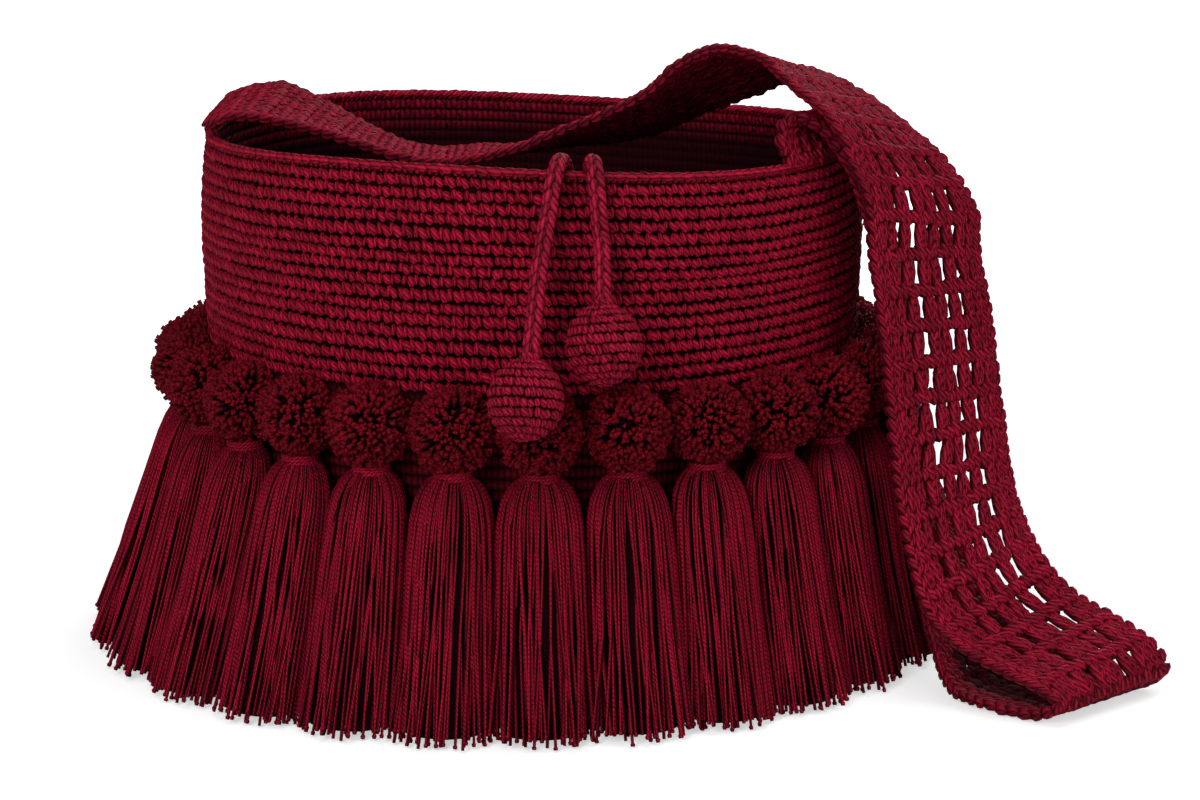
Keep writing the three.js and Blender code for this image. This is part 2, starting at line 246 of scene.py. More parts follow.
def smooth_line(stops, samples):
    """The centripetal curve through the stops that the solids follow."""
    stops = np.asarray(stops, dtype=float)
    stops = np.vstack([2 * stops[0] - stops[1], stops, 2 * stops[-1] - stops[-2]])
    place = np.linspace(0, len(stops) - 3, samples)
    step = np.minimum(place.astype(int), len(stops) - 4)
    share = (place - step)[:, None]
    p0, p1, p2, p3 = (stops[step + k] for k in range(4))
    d0, d1, d2 = (
        np.maximum(np.sqrt(np.linalg.norm(b - a, axis=1)), 1e-6)[:, None]
        for a, b in ((p0, p1), (p1, p2), (p2, p3))
    )
    t1 = ((p1 - p0) / d0 - (p2 - p0) / (d0 + d1) + (p2 - p1) / d1) * d1
    t2 = ((p2 - p1) / d1 - (p3 - p1) / (d1 + d2) + (p3 - p2) / d2) * d1
    square = -3 * p1 + 3 * p2 - 2 * t1 - t2
    cube = 2 * p1 - 2 * p2 + t1 + t2
    return p1 + t1 * share + square * share**2 + cube * share**3


# Stitches and strands, each modelled once and copied

def stitch_model(segments):
    """One plump loop of yarn, of unit size, with its length along X."""
    deselect_all()
    bpy.ops.mesh.primitive_uv_sphere_add(segments=segments, ring_count=4, radius=1)
    stitch = bpy.context.object
    bpy.ops.transform.rotate(value=math.pi / 2, orient_axis="Y", center_override=(0, 0, 0))
    bpy.ops.object.transform_apply(location=True, rotation=True, scale=True)
    return stitch


def worked(
    name, centre, right, up, size, slant, fuller=0.0, parted=0.4, two_faced=False, segments=6
):
    """Stitches on a surface. The slant turns each one's length from right towards up.

    size is half the length, width and thickness, for all of them or for each. fuller makes
    one end thicker. parted is how far the painted shade reaches along a stitch's sides.
    """
    model = stitch_model(segments)
    shape = points_of(model)
    count = len(centre)
    size = np.broadcast_to(size, (count, 3))
    slant = np.broadcast_to(slant, count)[:, None]
    out = unit(np.cross(right, up))
    long = right * np.cos(slant) + up * np.sin(slant)
    wide = up * np.cos(slant) - right * np.sin(slant)
    girth = 1 + fuller * shape[:, 0]
    places = (
        centre[:, None]
        + (shape[:, 0] * size[:, :1])[:, :, None] * long[:, None]
        + (shape[:, 1] * girth * size[:, 1:2])[:, :, None] * wide[:, None]
        + (shape[:, 2] * girth * size[:, 2:])[:, :, None] * out[:, None]
    )
    obj = repeated(name, model, places)
    # Painted shade where a stitch turns away from the outside: full at its back, on its sides as
    # parted gives, fullest at its ends
    face = np.abs(shape[:, 2]) if two_faced else shape[:, 2]
    painted_shade = np.clip((0.6 - face) / 0.9, 0, 1)
    painted_shade *= np.where(face < -0.5, 1, parted + (1 - parted) * np.abs(shape[:, 0]))
    add_value(obj, "painted_shade", np.tile(painted_shade, count))
    add_value(obj, "tone", np.repeat(rng.uniform(0, 1, count), len(shape)))
    add_strand(obj, np.column_stack([
        np.tile(shape[:, 1], count),
        np.tile(shape[:, 2], count),
        (shape[:, 0] * size[:, :1]).ravel(),
    ]))
    return obj


def strand_model(sides, steps):
    """A round strand of unit size along Z, cut into steps."""
    deselect_all()
    bpy.ops.mesh.primitive_cylinder_add(vertices=sides, radius=1, depth=2, end_fill_type="NGON")
    strand = bpy.context.object
    bpy.ops.object.mode_set(mode="EDIT")
    for step in range(1, steps - 1):
        bpy.ops.mesh.select_all(action="SELECT")
        level = 2 * step / (steps - 1) - 1
        bpy.ops.mesh.bisect(plane_co=(0, 0, level), plane_no=(0, 0, 1))
    bpy.ops.object.mode_set(mode="OBJECT")
    return strand


def laid_strands(name, sides, paths, girth, beside, painted_shade, parted=0.0):
    """Strands along paths (count, steps, 3), with their radius, a side way and the depth of their
    painted shade.

    parted is how much more shade is painted at the back of a strand. Past 1 the back stays
    fully shaded for longer before it fades.
    """
    count, steps = paths.shape[:2]
    model = strand_model(sides, steps)
    shape = points_of(model)
    step = np.rint((shape[:, 2] + 1) / 2 * (steps - 1)).astype(int)
    turn = np.arctan2(shape[:, 1], shape[:, 0]) - math.pi / 2
    along = unit(np.gradient(paths, axis=1))
    side = unit(np.cross(along, beside[:, None]))
    other = np.cross(along, side)
    length = np.linalg.norm(np.diff(paths, axis=1), axis=2).cumsum(axis=1)
    length = np.column_stack([np.zeros(count), length]) + rng.uniform(0, 6 * MM, (count, 1))
    girth = np.broadcast_to(girth, (count, steps))
    painted_shade = np.broadcast_to(painted_shade, (count, steps))
    ring = (
        side[:, step] * np.cos(turn)[None, :, None] + other[:, step] * np.sin(turn)[None, :, None]
    )
    obj = repeated(name, model, paths[:, step] + ring * girth[:, step, None])
    # Painted shade along each strand as given, and more on its back
    behind = parted * (1 - np.cos(turn)) / 1.5
    add_value(obj, "painted_shade", painted_shade[:, step] + behind)
    add_value(obj, "tone", np.repeat(rng.uniform(0, 1, count), len(shape)))
    add_strand(obj, np.column_stack([
        np.tile(np.cos(turn), count),
        np.tile(np.sin(turn), count),
        length[:, step].ravel(),
    ]))
    return obj


# Painted shade over a whole hidden piece, full unless less is given, with no tone
def plain_values(obj, painted_shade=1.0):
    count = len(obj.data.vertices)
    add_value(obj, "painted_shade", np.full(count, painted_shade))
    add_value(obj, "tone", np.zeros(count))
    add_strand(obj, np.tile([1.0, 0.0, 0.0], (count, 1)))


# Shape of the bag

def wall_radius(height):
    above = (height - BELLY_HEIGHT) / (RIM_HEIGHT - BELLY_HEIGHT)
    below = (BELLY_HEIGHT - np.maximum(height, FOOT_CORNER)) / (BELLY_HEIGHT - FOOT_CORNER)
    upper = BELLY_RADIUS - (BELLY_RADIUS - RIM_RADIUS) * np.clip(above, 0, None) ** 2
    lower = BELLY_RADIUS - (BELLY_RADIUS - FOOT_RADIUS) * np.clip(below, 0, None) ** 1.5
    return np.where(height > BELLY_HEIGHT, upper, lower)


def rim_rise(angle):
    sway = RIM_SWAY * np.cos(angle - math.radians(RIM_SWAY_ANGLE))
    wave = RIM_WAVE * np.cos(3 * (angle - math.radians(RIM_WAVE_ANGLE)))
    return sway + wave


def with_rim_rise(obj):
    """Lifts a piece near the rim by the rim's soft wave."""
    points = points_of(obj)
    share = smoothstep(RIM_HEIGHT / 2, RIM_HEIGHT, points[:, 2])
    points[:, 2] += share * rim_rise(np.arctan2(points[:, 1], points[:, 0]))
    put_points(obj, points)
    return obj


def outside_wall(points, gap):
    radius = np.hypot(points[..., 0], points[..., 1])
    least = wall_radius(points[..., 2]) + gap
    points[..., :2] *= np.maximum(least / radius, 1)[..., None]
    return points


def around(angle, radius, height):
    return np.stack([radius * np.cos(angle), radius * np.sin(angle), height], axis=-1)


def round_way(angle):
    """The level direction along a round of stitches."""
    return around(angle + math.pi / 2, 1.0, np.zeros(len(angle)))


def crocheted_round(name, profile, stitches, per_row, ridge, buried_above=None):
    """Plain rows worked round the upright axis, along a profile of (radius, height)."""
    lengths = travelled(profile)
    rows = max(1, round(lengths[-1] / ROW))
    columns = stitches * 2
    obj, column, line = grid(name, columns, rows * per_row)
    travel = line / (rows * per_row) * lengths[-1]
    radius, height = looked_up(profile, lengths, travel).T
    ahead = looked_up(profile, lengths, np.minimum(travel + ROW, lengths[-1]))
    behind = looked_up(profile, lengths, np.maximum(travel - ROW, 0))
    wider, out = (ahead - behind).T
    size = np.hypot(out, wider)
    out, up = out / size, -wider / size

    row = line // per_row
    share = (line % per_row) / per_row
    rounded = np.sqrt(np.clip(1 - (2 * share - 1) ** 4, 0, 1))
    offset = rng.integers(0, 2, rows + 1)[row]
    crown = (column + offset) % 2
    stitch = ((column + offset) // 2) % stitches
    uneven = rng.normal(0, 0.2 * MM, (rows + 1, stitches))[row, stitch]
    notch = 0.8 * MM
    depth = ridge * (1 - rounded) + notch * (1 - crown) * rounded - uneven * crown * rounded
    turn = 2 * np.pi * column / columns
    lean = 0.9
    slanted = turn - lean * line / per_row / stitches * 2 * np.pi
    points = around(slanted, radius - out * depth, height - up * depth)
    points[radius < 1e-6, :2] = 0
    put_points(obj, points)
    # Painted shade in the grooves between rows; where buried_above is given, the wall is painted at
    # least partly in shade, and fully behind the outer rows above it
    painted_shade = np.clip(depth / ridge, 0, 1)
    if buried_above:
        hidden = smoothstep(buried_above - ROW, buried_above, height)
        painted_shade = np.maximum(painted_shade, 0.6 + 0.4 * hidden)
    add_value(obj, "painted_shade", painted_shade)
    add_value(obj, "tone", rng.uniform(0, 1, (rows + 1, stitches))[row, stitch])
    # The plies follow one another round the row, closer than along a loose strand
    along = slanted * RIM_RADIUS * 2.2
    add_strand(obj, np.column_stack([np.ones(len(turn)), np.zeros(len(turn)), along]))
    close_seams(obj)
    return with_rim_rise(obj)


def row_edges():
    """Depths below the rim's braid at which the rows meet: no two rows are quite as tall."""
    heights = 1 + np.clip(rng.normal(0, 0.12, OUTER_ROWS), -0.17, 0.17)
    return np.concatenate([[0], np.cumsum(heights)]) / heights.sum() * OUTER_ROWS * ROW


def outer_rows(name, edges, first, last):
    """The wall's rope-like rows: leaning stitches, every other one with its knob lower down."""
    count = round(2 * math.pi * BELLY_RADIUS / STITCH)
    top = RIM_HEIGHT - RIM_BRAID + 0.4 * MM
    stitch = np.arange(count)
    angles, heights, sizes, slants, depths = [], [], [], [], []
    for row in range(first, last):
        even = np.where(stitch % 2 == row % 2, 1, -1)
        angle = (stitch + rng.uniform(0, 1) + rng.normal(0, 0.09, count)) * 2 * np.pi / count
        waver = sum(np.sin(angle * wave + rng.uniform(0, 6.3)) for wave in (3, 8, 19)) * 0.16 * MM
        middle = top - (edges[row] + edges[row + 1]) / 2
        angles.append(angle)
        heights.append(middle + waver - 0.25 * MM * even + rng.normal(0, 0.16 * MM, count))
        tall = (edges[row + 1] - edges[row]) * (0.505 + 0.02 * even) * rng.normal(1, 0.05, count)
        wide = STITCH * 0.63 * (1 + 0.14 * even) * rng.normal(1, 0.08, count)
        thick = STITCH_DEPTH * rng.normal(1, 0.06, count)
        sizes.append(np.column_stack([tall, wide, thick]))
        slants.append(np.radians(108 + 16 * even + rng.normal(0, 8, count)))
        depths.append(STITCH_DEPTH - 0.2 * MM * even + rng.normal(0, 0.15 * MM, count))
    angle, height = np.concatenate(angles), np.concatenate(heights)
    radius = wall_radius(height) - np.concatenate(depths)
    obj = worked(
        name, around(angle, radius, height), round_way(angle), UPRIGHT, np.concatenate(sizes),
        np.concatenate(slants), fuller=-0.22,
    )
    return with_rim_rise(obj)


def backing_and_base():
    """The wall behind the rows, its plain lower part, and the base."""
    hidden = RIM_HEIGHT - RIM_BRAID - OUTER_ROWS * ROW
    heights = np.linspace(FOOT_CORNER, RIM_HEIGHT - RIM_BRAID, 60)
    turns = np.linspace(0, math.pi / 2, 10)[:-1]
    centre = FOOT_RADIUS - FOOT_CORNER
    corner = np.column_stack([
        centre + FOOT_CORNER * np.sin(turns),
        FOOT_CORNER * (1 - np.cos(turns)),
    ])
    behind_rows = 2.3 * MM
    set_back = smoothstep(hidden - ROW, hidden + ROW, heights) * behind_rows
    wall = np.column_stack([wall_radius(heights) - set_back, heights])
    profile = np.vstack([[[0, 0]], corner, wall])
    return crocheted_round("bag_backing_and_base", profile, 110, 2, 1.3 * MM, hidden)


def painted_darker(obj, depth):
    """Raises a piece's painted shade to at least the value given for each of its points."""
    painted_shade = np.empty(len(depth), dtype=np.float32)
    layer = obj.data.attributes["painted_shade"]
    layer.data.foreach_get("value", painted_shade)
    layer.data.foreach_set("value", np.maximum(painted_shade, depth).astype(np.float32))
    return obj


def shaded_inside(obj):
    """Paints shade on the inside, fuller with the depth below the mouth."""
    lit_above = RIM_HEIGHT - 5 * MM
    dark_below = RIM_HEIGHT - 24 * MM
    depth = 1 - smoothstep(dark_below, lit_above, points_of(obj)[:, 2])
    return painted_darker(obj, 0.96 * depth)


def inner_wall():
    top = RIM_HEIGHT - RIM_BRAID + 0.5 * MM
    heights = np.linspace(top, top - INNER_ROWS * ROW, 40)
    profile = np.column_stack([wall_radius(heights) - WALL, heights])
    return shaded_inside(crocheted_round("bag_inside_upper", profile, 230, 4, 1.3 * MM))


def inner_floor():
    top = RIM_HEIGHT - RIM_BRAID + 0.5 * MM - INNER_ROWS * ROW
    inner_corner = FOOT_CORNER - WALL
    heights = np.linspace(top, FOOT_CORNER, 40)
    turns = np.linspace(math.pi / 2, 0, 8)[1:]
    centre = FOOT_RADIUS - FOOT_CORNER
    wall = np.column_stack([wall_radius(heights) - WALL, heights])
    corner = np.column_stack([
        centre + inner_corner * np.sin(turns),
        FOOT_CORNER - inner_corner * np.cos(turns),
    ])
    profile = np.vstack([wall, corner, [[0, WALL]]])
    return shaded_inside(crocheted_round("bag_inside_lower", profile, 90, 2, 1.0 * MM))


def rim_braid():
    """A chain of leaning links along the rim, over a line of small knobs on both faces."""
    middle = RIM_RADIUS - WALL / 2
    height = RIM_HEIGHT - 2.3 * MM
    links = round(2 * math.pi * RIM_RADIUS / RIM_LINK)
    knobs = round(2 * math.pi * RIM_RADIUS / STITCH)
    # Half the length, width and thickness, in millimetres
    link = (4.1, 2.1, 1.65)
    knob = (1.5, 1.25, 1.3)
    centres, rights, ups, slants, sizes = [], [], [], [], []
    for line, lean, count, size in (
        (-38, 70, knobs, knob),
        (42, -20, links, link),
        (138, 20, links, link),
        (218, 70, knobs, knob),
    ):
        angle = 2 * np.pi * (np.arange(count) + 0.5 * (lean > 0)) / count
        outward, upward = math.cos(math.radians(line)), math.sin(math.radians(line))
        out = around(angle, outward, np.full(count, upward))
        right = round_way(angle)
        centres.append(around(angle, middle, np.full(count, height)) + out * 1.15 * MM)
        rights.append(right)
        ups.append(np.cross(out, right))
        slants.append(math.radians(lean) + rng.normal(0, 0.08, count))
        sizes.append(np.array(size) * MM * rng.normal(1, 0.05, (count, 3)))
    chain = worked(
        "rim_braid", np.vstack(centres), np.vstack(rights), np.vstack(ups), np.vstack(sizes),
        np.concatenate(slants), fuller=0.12, parted=1.0,
    )
    turns = np.linspace(0, 2 * np.pi, 97)
    ring = around(turns, middle, np.full(len(turns), height))
    # The core under the links is painted wholly in shade
    core = laid_strands("rim_core", 6, ring[None], RIM_CORE, UPRIGHT, 1.0)
    return with_rim_rise(joined("rim_braid", [chain, core]))


# Strap

def strap_stops():
    """The strap's front edge and the direction across it, stop by stop, as the solids have them."""
    pompom_reach = RING_RADIUS + POMPOM_RADIUS
    floor = STRAP_THICKNESS / 2 + FLOOR_GAP
    stops = []

    def over_mouth(x, y, rise, across_x, across_z):
        front = (x * RIM_RADIUS, y * RIM_RADIUS, RIM_HEIGHT + rise * MM)
        stops.append((front, (across_x, 1, across_z)))

    def beside(ring, angle, out, height, across_x, across_z):
        turn = math.radians(angle)
        radius = ring + out * MM
        front = (radius * math.cos(turn), radius * math.sin(turn), height)
        stops.append((front, (across_x, 1, across_z)))

    # Seam on the left of the rim, and the rise over it
    over_mouth(-0.975, -0.25, 2.5, -0.01, 0)
    over_mouth(-0.955, -0.265, 7.5, 0, 0.03)
    over_mouth(-0.9, -0.27, 10, 0.04, 0.06)
    over_mouth(-0.82, -0.265, 9.5, 0.08, 0.08)
    # The dip across the mouth
    over_mouth(-0.69, -0.25, 5, 0.06, 0.02)
    over_mouth(-0.54, -0.245, -1.4, 0.02, -0.04)
    over_mouth(-0.39, -0.245, -8.5, -0.02, -0.06)
    over_mouth(-0.27, -0.245, -10.8, -0.03, -0.06)
    over_mouth(-0.15, -0.245, -8.5, 0, -0.08)
    over_mouth(-0.03, -0.245, -3.6, 0.03, -0.15)
    # The rise to the arch, with the front edge up
    over_mouth(0.09, -0.245, 3.9, 0.05, -0.22)
    over_mouth(0.21, -0.245, 10.6, 0.06, -0.3)
    over_mouth(0.33, -0.25, 19.6, 0.1, -0.38)
    over_mouth(0.45, -0.27, 34.5, 0.18, -0.47)
    over_mouth(0.55, -0.32, 41.5, 0.28, -0.45)
    over_mouth(0.68, -0.435, 39, 0.38, -0.22)
    # Over the right of the rim and down its outside
    beside(RIM_RADIUS, -36.2, -8, RIM_HEIGHT + 29.6 * MM, 0.54, -0.17)
    beside(RIM_RADIUS, -36.2, 12, RIM_HEIGHT + 16.1 * MM, 0.75, -0.25)
    beside(RIM_RADIUS, -35.6, 21, RIM_HEIGHT - 0.4 * MM, 0.89, -0.18)
    beside(BELLY_RADIUS, -34.3, 23.3, RIM_HEIGHT - 17.5 * MM, 1.07, -0.22)
    beside(BELLY_RADIUS, -33.9, 25.5, RIM_HEIGHT - 43.4 * MM, 1.06, -0.12)
    beside(pompom_reach, -33, 5, 157.6 * MM, 1.08, -0.08)
    beside(pompom_reach, -32.7, 10.2, 114 * MM, 1.12, -0.02)
    beside(pompom_reach, -35, 20.2, 77.1 * MM, 1.13, 0.1)
    # Along the floor to the fold
    beside(HEM_REACH, -38.2, 25.1, 39.1 * MM, 1.13, 0.38)
    beside(HEM_REACH, -37.9, 39.6, 28.3 * MM, 1.13, 0.28)
    beside(HEM_REACH, -37.1, 57.4, 21.1 * MM, 1.13, 0.24)
    beside(HEM_REACH, -36.4, 75, 14.8 * MM, 1.15, 0.18)
    beside(HEM_REACH, -36.1, 81.8, 9 * MM, 1.15, 0.06)
    # Back under itself
    beside(HEM_REACH, -36.3, 72.4, floor, 1.15, 0)
    beside(HEM_REACH, -36.1, 44.6, floor, 1.15, 0)
    beside(HEM_REACH, -34.9, 29, 4.5 * MM, 1, 0.05)
    # Up the bag's right side
    beside(HEM_REACH, -31.5, 13.5, 16 * MM, 0.75, 0.12)
    beside(HEM_REACH, -28.3, 3, 35 * MM, 0.42, 0.08)
    beside(pompom_reach, -24.6, 13, 68 * MM, 0.22, 0)
    beside(pompom_reach, -22.3, 6.4, 100 * MM, 0.14, 0)
    beside(pompom_reach, -21.9, 4.2, 130 * MM, 0.12, 0)
    beside(BELLY_RADIUS, -23.1, 20.8, 165 * MM, 0.14, 0)
    beside(BELLY_RADIUS, -26.7, 14.1, RIM_HEIGHT - 31.5 * MM, 0.22, 0)
    beside(BELLY_RADIUS, -30.9, 9.2, RIM_HEIGHT - 5.5 * MM, 0.34, 0)
    # Over the rim to the seam on its right
    beside(RIM_RADIUS, -33, 6.5, RIM_HEIGHT + 5.8 * MM, 0.44, -0.05)
    beside(RIM_RADIUS, -35.4, 2, RIM_HEIGHT + 13 * MM, 0.48, -0.1)
    beside(RIM_RADIUS, -38.2, -3, RIM_HEIGHT + 17.2 * MM, 0.52, -0.12)
    beside(RIM_RADIUS, -40.8, -5, RIM_HEIGHT + 14 * MM, 0.53, -0.1)
    beside(RIM_RADIUS, -42.2, -3, RIM_HEIGHT + 7 * MM, 0.53, -0.02)
    beside(RIM_RADIUS, -42.4, -1.5, RIM_HEIGHT - 2 * MM, 0.53, 0)
    return stops


class Band:
    """The strap's surface: bends flat work, given across, along and out of it, into place."""

    def __init__(self):
        samples = 2400
        stops = strap_stops()
        fronts = np.array([front for front, across in stops])
        backs = fronts + unit(np.array([across for front, across in stops])) * STRAP_WIDTH
        self.front = smooth_line(fronts, samples)
        self.back = smooth_line(backs, samples)
        middle = (self.front + self.back) / 2
        self.length = travelled(middle)
        self.total = self.length[-1]
        along = np.gradient(middle, axis=0)
        wide = 9
        for axis in range(3):
            padded = np.pad(along[:, axis], wide, mode="edge")
            along[:, axis] = np.convolve(padded, np.ones(2 * wide + 1), "valid")
        self.out = unit(np.cross(self.back - self.front, along))
        reach = np.hypot(self.front[:, 0], self.front[:, 1])
        self.fold = self.length[np.argmax(reach)]

    def at(self, table, along):
        return looked_up(table, self.length, along)

    def bend(self, flat):
        """flat has columns across (0 at the front edge), along and out."""
        across, along, out = flat[:, 0] / STRAP_WIDTH, flat[:, 1], flat[:, 2]
        front, back = self.at(self.front, along), self.at(self.back, along)
        place = front + (back - front) * across[:, None] + self.at(self.out, along) * out[:, None]
        angle = np.arctan2(place[:, 1], place[:, 0])
        end = np.minimum(along, self.total - along)
        height = RIM_HEIGHT + rim_rise(angle) + 0.5 * MM + np.clip(end, -1 * MM, STRAP_SEAM)
        sewn = around(angle, RIM_RADIUS - WALL / 2 + out, height)
        return sewn + (place - sewn) * smoothstep(0, STRAP_SEAM, end)[:, None]

    def near_floor(self, along):
        """From 0 on the strap's free lengths to 1 where it lies folded on the floor."""
        return 1 - smoothstep(11 * MM, 27 * MM, self.at(self.front, along)[:, 2])

    def stitched(self, name, flat, size, slant, fuller=0.0):
        """Stitches whose length is turned by the slant from across the strap to along it."""
        nudge = 0.4 * MM
        centre = self.bend(flat)
        right = unit(self.bend(flat + [nudge, 0, 0]) - centre)
        up = unit(self.bend(flat + [0, nudge, 0]) - centre)
        obj = worked(name, centre, right, up, size, slant, fuller, parted=1.0, two_faced=True)
        # Painted shade in the fold, between the two layers, where little light gets in
        across, along = flat[:, 0], flat[:, 1]
        shut_in = smoothstep(self.fold + 3 * MM, self.fold + 14 * MM, along)
        shut_in *= self.near_floor(along) * smoothstep(6 * MM, 15 * MM, across)
        return painted_darker(obj, np.repeat(0.85 * shut_in, len(obj.data.vertices) // len(flat)))


def strap_bars(band, pitch):
    """The ridge of knobs that each row of posts stands on."""
    count = 17
    margin = 4.5 * MM
    spacing = (STRAP_WIDTH - 2 * margin) / count
    knob, row = np.meshgrid(np.arange(count), np.arange(STRAP_ROWS + 1))
    knob, row = knob.ravel(), row.ravel()
    many = len(knob)
    bow = 0.5 * MM * np.sin(knob * 0.37 + rng.uniform(0, 6.3, STRAP_ROWS + 1)[row])
    flat = np.column_stack([
        margin + (knob + 0.5) * spacing + rng.normal(0, 0.2 * MM, many),
        row * pitch + bow + rng.normal(0, 0.25 * MM, many),
        rng.normal(0, 0.15 * MM, many),
    ])
    size = np.array([4.1 * MM, spacing * 0.6, 3.1 * MM]) * rng.normal(1, 0.1, (many, 3))
    slant = np.radians(68 + 14 * (knob % 2) + rng.normal(0, 12, many))
    return band.stitched("strap_bars", flat, size, slant)


def strap_posts(band, pitch):
    """Puffy posts of wound yarn, eight in each row, with the openwork's gaps between them."""
    centres = np.array([8.1, 13.8, 23.0, 34.2, 41.2, 50.8, 60.0, 65.5]) * MM
    widths = np.array([5.6, 5.6, 6.6, 6.2, 6.0, 6.3, 5.4, 5.2]) * MM
    post, row = np.meshgrid(np.arange(len(centres)), np.arange(STRAP_ROWS))
    post, row = post.ravel(), row.ravel()
    many = len(post)
    wide = widths[post] * rng.uniform(0.9, 1.14, many)
    wide *= 1 + 0.45 * band.near_floor((row + 0.5) * pitch)
    lean = rng.normal(-0.06, 0.05, many)
    middle = centres[post] + rng.normal(0, 0.3 * MM, many)
    flats, sizes, slants = [], [], []

    def lay(aside, ahead, length, width, thickness, slant):
        flats.append(np.column_stack([
            middle + aside * wide + lean * ahead * pitch,
            (row + 0.5 + ahead) * pitch + rng.normal(0, 0.2 * MM, many),
            np.zeros(many),
        ]))
        size = np.column_stack([length, width, np.full(many, thickness)])
        sizes.append(size * rng.normal(1, 0.06, (many, 3)))
        slants.append(np.radians(slant + rng.normal(0, 7, many)))

    # Two loops side by side, and three turns of yarn wound over them
    tall = np.full(many, pitch * 0.5)
    lay(-0.22, 0.02, tall, wide * 0.31, 2.3 * MM, 95)
    lay(0.24, -0.02, tall, wide * 0.31, 2.3 * MM, 88)
    for ahead in (0.26, 0.01, -0.24):
        lay(0.0, ahead, wide * 0.56, np.full(many, 1.35 * MM), 2.9 * MM, 128)
    return band.stitched("strap_posts", np.vstack(flats), np.vstack(sizes), np.concatenate(slants))


def strap_edges(band):
    """Chain stitches along both edges of the strap."""
    count = int(band.total / STRAP_LINK)
    flats, slants = [], []
    for edge, inward in ((0, 1), (STRAP_WIDTH, -1)):
        for side in (1, -1):
            along = (np.arange(count) + 0.5 + 0.25 * side) * STRAP_LINK
            across = edge + inward * (2.9 + 1.25 * side) * MM + rng.normal(0, 0.2 * MM, count)
            flats.append(np.column_stack([across, along, rng.normal(0, 0.2 * MM, count)]))
            slants.append(np.radians(90 + 22 * side * inward + rng.normal(0, 5, count)))
    size = np.array([4.1, 1.9, 2.7]) * MM * rng.normal(1, 0.06, (4 * count, 3))
    slant = np.concatenate(slants)
    return band.stitched("strap_edge_braids", np.vstack(flats), size, slant, fuller=0.1)


# Pompoms and tassels

def ornament_angle(index):
    return FIRST_ANGLE + 360 / ORNAMENTS * index


def turned(points, angle):
    c, s = math.cos(math.radians(angle)), math.sin(math.radians(angle))
    x, y = points[..., 0], points[..., 1]
    return np.stack([x * c - y * s, x * s + y * c, points[..., 2]], axis=-1)


def pompom_model(name):
    """A ball of cut yarn ends round a close core, centred on the origin."""
    number = np.arange(POMPOM_ENDS) + 0.5
    up = 1 - 2 * number / POMPOM_ENDS
    turn = np.pi * (1 + 5**0.5) * number
    flat = np.sqrt(1 - up**2)
    direction = np.column_stack([flat * np.cos(turn), flat * np.sin(turn), up])
    tufts = unit(rng.normal(0, 1, (110, 3)))
    nearest = tufts[np.argmax(direction @ tufts.T, axis=1)]
    lean = unit(direction + 0.3 * (nearest - direction) + rng.normal(0, 0.09, direction.shape))
    length = POMPOM_RADIUS * np.clip(rng.normal(0.97, 0.05, POMPOM_ENDS), 0.84, 1.06)
    paths = np.stack([direction * POMPOM_RADIUS * 0.6, lean * length[:, None]], axis=1)
    beside = unit(np.cross(lean, unit(rng.normal(0, 1, (POMPOM_ENDS, 3)))))
    girth = np.array([0.6, 1.2]) * MM * rng.uniform(0.8, 1.2, (POMPOM_ENDS, 1))
    # Painted shade, full towards the core and gone at the tips
    yarn = laid_strands(name, 3, paths, girth, beside, [1.7, 0.0])
    deselect_all()
    # The core is painted wholly in shade
    bpy.ops.mesh.primitive_ico_sphere_add(subdivisions=2, radius=POMPOM_RADIUS * 0.7)
    core = bpy.context.object
    plain_values(core)
    return joined(name, [yarn, core])


def pompoms():
    """Pompoms side by side, from three models turned every way; some are pressed by the strap."""
    models = [pompom_model(f"pompom_model_{k}") for k in range(3)]
    for index in range(ORNAMENTS):
        angle = ornament_angle(index)
        model = models[index % len(models)]
        obj = model.copy()
        obj.data = model.data.copy()
        name = f"pompom_{index + 1:02d}"
        obj.name = f"yarn_{name}"
        bpy.context.collection.objects.link(obj)
        points = turned(points_of(obj), rng.uniform(0, 360))[:, [2, 0, 1]]
        points = turned(points, rng.uniform(0, 360)) * rng.uniform(0.98, 1.05)
        from_right = (angle + 180) % 360 - 180
        under_strap = PRESSED_FROM < from_right < PRESSED_TO
        if under_strap:
            points[:, 0] *= PRESSED_DEPTH / POMPOM_RADIUS
        points += [RING_RADIUS, 0, POMPOM_HEIGHT]
        put_points(obj, outside_wall(turned(points, angle), POMPOM_GAP))
        dress(obj, "pompom_yarn", name)
    for model in models:
        bpy.data.objects.remove(model)


def hem_reach(angle):
    sway = HEM_REACH_SWAY * math.cos(math.radians(angle - HEM_REACH_SWAY_ANGLE))
    wave = HEM_REACH_WAVE * math.cos(math.radians(2 * (angle - HEM_REACH_WAVE_ANGLE)))
    return HEM_REACH + sway - wave


